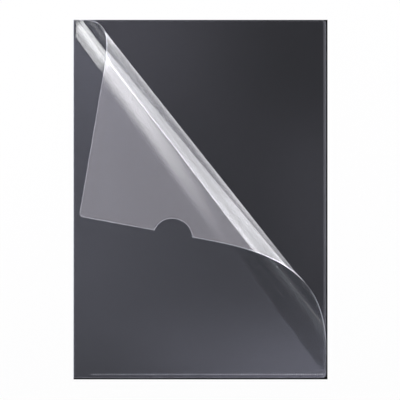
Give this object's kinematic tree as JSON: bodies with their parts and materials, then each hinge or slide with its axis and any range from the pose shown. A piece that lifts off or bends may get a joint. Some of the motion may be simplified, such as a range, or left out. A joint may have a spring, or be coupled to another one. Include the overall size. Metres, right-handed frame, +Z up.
{
  "type": "clear l-folder",
  "caption": "Clear plastic L-folder for A4 sheets, folded on the left and welded along the bottom, front leaf with a thumb notch peeled open in a roll",
  "frame": {"origin": "middle of the underside of the back leaf, on the table", "axes": "+X from the fold to the open edge, +Y from the welded edge to the open top, +Z up from the table"},
  "size_m": [0.219, 0.31, 0.0926],
  "materials": {
    "film": "clear polypropylene film",
    "weld": "melted film, slightly milky"
  },
  "bodies": {
    "folder": {"back_sheet": "film", "spine_fold": "film", "weld_dots": "weld", "front_sheet": "film"},
    "roll_01": {"roll_strip_01": "film"},
    "roll_02": {"roll_strip_02": "film"},
    "roll_03": {"roll_strip_03": "film"},
    "roll_04": {"roll_strip_04": "film"},
    "roll_05": {"roll_strip_05": "film"},
    "roll_06": {"roll_strip_06": "film"},
    "roll_07": {"roll_strip_07": "film"},
    "roll_08": {"roll_strip_08": "film"},
    "roll_09": {"roll_strip_09": "film"},
    "roll_10": {"roll_strip_10": "film"},
    "roll_11": {"roll_strip_11": "film"},
    "roll_12": {"roll_strip_12": "film"},
    "roll_13": {"roll_strip_13": "film"},
    "roll_14": {"roll_strip_14": "film"},
    "roll_15": {"roll_strip_15": "film"},
    "roll_16": {"roll_strip_16": "film"},
    "roll_17": {"roll_strip_17": "film"},
    "roll_18": {"roll_strip_18": "film"},
    "roll_19": {"roll_strip_19": "film"},
    "free_corner": {"front_flap": "film"}
  },
  "joints": [
    {"name": "peel_bend_01", "type": "hinge", "parent": "folder", "child": "roll_01", "pos_m": [0.00238, 0.00946, 0.0007], "axis": [0.5928, -0.8054, 0], "range_deg": [-8.15, 0]},
    {"name": "peel_bend_02", "type": "hinge", "parent": "roll_01", "child": "roll_02", "pos_m": [0.00278, 0.01063, 0.00085], "axis": [0.5944, -0.8042, 0.0003], "range_deg": [-8.15, 0]},
    {"name": "peel_bend_03", "type": "hinge", "parent": "roll_02", "child": "roll_03", "pos_m": [0.00341, 0.01248, 0.00132], "axis": [0.5969, -0.8023, 0.0012], "range_deg": [-8.15, 0]},
    {"name": "peel_bend_04", "type": "hinge", "parent": "roll_03", "child": "roll_04", "pos_m": [0.00416, 0.01486, 0.00223], "axis": [0.6001, -0.7999, 0.003], "range_deg": [-8.15, 0]},
    {"name": "peel_bend_05", "type": "hinge", "parent": "roll_04", "child": "roll_05", "pos_m": [0.00494, 0.01762, 0.00369], "axis": [0.6036, -0.7972, 0.0059], "range_deg": [-8.15, 0]},
    {"name": "peel_bend_06", "type": "hinge", "parent": "roll_05", "child": "roll_06", "pos_m": [0.00565, 0.02064, 0.00573], "axis": [0.6074, -0.7944, 0.0099], "range_deg": [-8.15, 0]},
    {"name": "peel_bend_07", "type": "hinge", "parent": "roll_06", "child": "roll_07", "pos_m": [0.00619, 0.0238, 0.0084], "axis": [0.611, -0.7915, 0.0152], "range_deg": [-8.15, 0]},
    {"name": "peel_bend_08", "type": "hinge", "parent": "roll_07", "child": "roll_08", "pos_m": [0.00647, 0.02696, 0.01169], "axis": [0.6143, -0.7888, 0.0218], "range_deg": [-8.15, 0]},
    {"name": "peel_bend_09", "type": "hinge", "parent": "roll_08", "child": "roll_09", "pos_m": [0.00638, 0.03003, 0.01556], "axis": [0.617, -0.7864, 0.0297], "range_deg": [-8.15, 0]},
    {"name": "peel_bend_10", "type": "hinge", "parent": "roll_09", "child": "roll_10", "pos_m": [0.00584, 0.03289, 0.01997], "axis": [0.619, -0.7845, 0.0386], "range_deg": [-8.15, 0]},
    {"name": "peel_bend_11", "type": "hinge", "parent": "roll_10", "child": "roll_11", "pos_m": [0.00478, 0.03544, 0.02482], "axis": [0.6199, -0.7832, 0.0486], "range_deg": [-8.15, 0]},
    {"name": "peel_bend_12", "type": "hinge", "parent": "roll_11", "child": "roll_12", "pos_m": [0.00312, 0.03759, 0.03003], "axis": [0.6196, -0.7827, 0.0594], "range_deg": [-8.15, 0]},
    {"name": "peel_bend_13", "type": "hinge", "parent": "roll_12", "child": "roll_13", "pos_m": [0.00083, 0.03926, 0.03546], "axis": [0.6179, -0.7831, 0.0707], "range_deg": [-8.15, 0]},
    {"name": "peel_bend_14", "type": "hinge", "parent": "roll_13", "child": "roll_14", "pos_m": [-0.00214, 0.04039, 0.04098], "axis": [0.6147, -0.7844, 0.0824], "range_deg": [-8.15, 0]},
    {"name": "peel_bend_15", "type": "hinge", "parent": "roll_14", "child": "roll_15", "pos_m": [-0.00578, 0.04092, 0.04646], "axis": [0.61, -0.7868, 0.094], "range_deg": [-8.15, 0]},
    {"name": "peel_bend_16", "type": "hinge", "parent": "roll_15", "child": "roll_16", "pos_m": [-0.01009, 0.04081, 0.05174], "axis": [0.6036, -0.7903, 0.1053], "range_deg": [-8.15, 0]},
    {"name": "peel_bend_17", "type": "hinge", "parent": "roll_16", "child": "roll_17", "pos_m": [-0.01504, 0.04004, 0.05667], "axis": [0.5956, -0.7949, 0.1159], "range_deg": [-8.15, 0]},
    {"name": "peel_bend_18", "type": "hinge", "parent": "roll_17", "child": "roll_18", "pos_m": [-0.02057, 0.0386, 0.06111], "axis": [0.5861, -0.8005, 0.1255], "range_deg": [-8.15, 0]},
    {"name": "peel_bend_19", "type": "hinge", "parent": "roll_18", "child": "roll_19", "pos_m": [-0.02662, 0.03649, 0.0649], "axis": [0.5751, -0.8071, 0.1337], "range_deg": [-8.15, 0]},
    {"name": "peel_bend_20", "type": "hinge", "parent": "roll_19", "child": "free_corner", "pos_m": [-0.03309, 0.03371, 0.06791], "axis": [0.5628, -0.8146, 0.1403], "range_deg": [-8.15, 0]}
  ],
  "couplings": [
    {"joint": "peel_bend_02", "follows": "peel_bend_01", "ratio": 1},
    {"joint": "peel_bend_03", "follows": "peel_bend_01", "ratio": 1},
    {"joint": "peel_bend_04", "follows": "peel_bend_01", "ratio": 1},
    {"joint": "peel_bend_05", "follows": "peel_bend_01", "ratio": 1},
    {"joint": "peel_bend_06", "follows": "peel_bend_01", "ratio": 1},
    {"joint": "peel_bend_07", "follows": "peel_bend_01", "ratio": 1},
    {"joint": "peel_bend_08", "follows": "peel_bend_01", "ratio": 1},
    {"joint": "peel_bend_09", "follows": "peel_bend_01", "ratio": 1},
    {"joint": "peel_bend_10", "follows": "peel_bend_01", "ratio": 1},
    {"joint": "peel_bend_11", "follows": "peel_bend_01", "ratio": 1},
    {"joint": "peel_bend_12", "follows": "peel_bend_01", "ratio": 1},
    {"joint": "peel_bend_13", "follows": "peel_bend_01", "ratio": 1},
    {"joint": "peel_bend_14", "follows": "peel_bend_01", "ratio": 1},
    {"joint": "peel_bend_15", "follows": "peel_bend_01", "ratio": 1},
    {"joint": "peel_bend_16", "follows": "peel_bend_01", "ratio": 1},
    {"joint": "peel_bend_17", "follows": "peel_bend_01", "ratio": 1},
    {"joint": "peel_bend_18", "follows": "peel_bend_01", "ratio": 1},
    {"joint": "peel_bend_19", "follows": "peel_bend_01", "ratio": 1},
    {"joint": "peel_bend_20", "follows": "peel_bend_01", "ratio": 1}
  ]
}
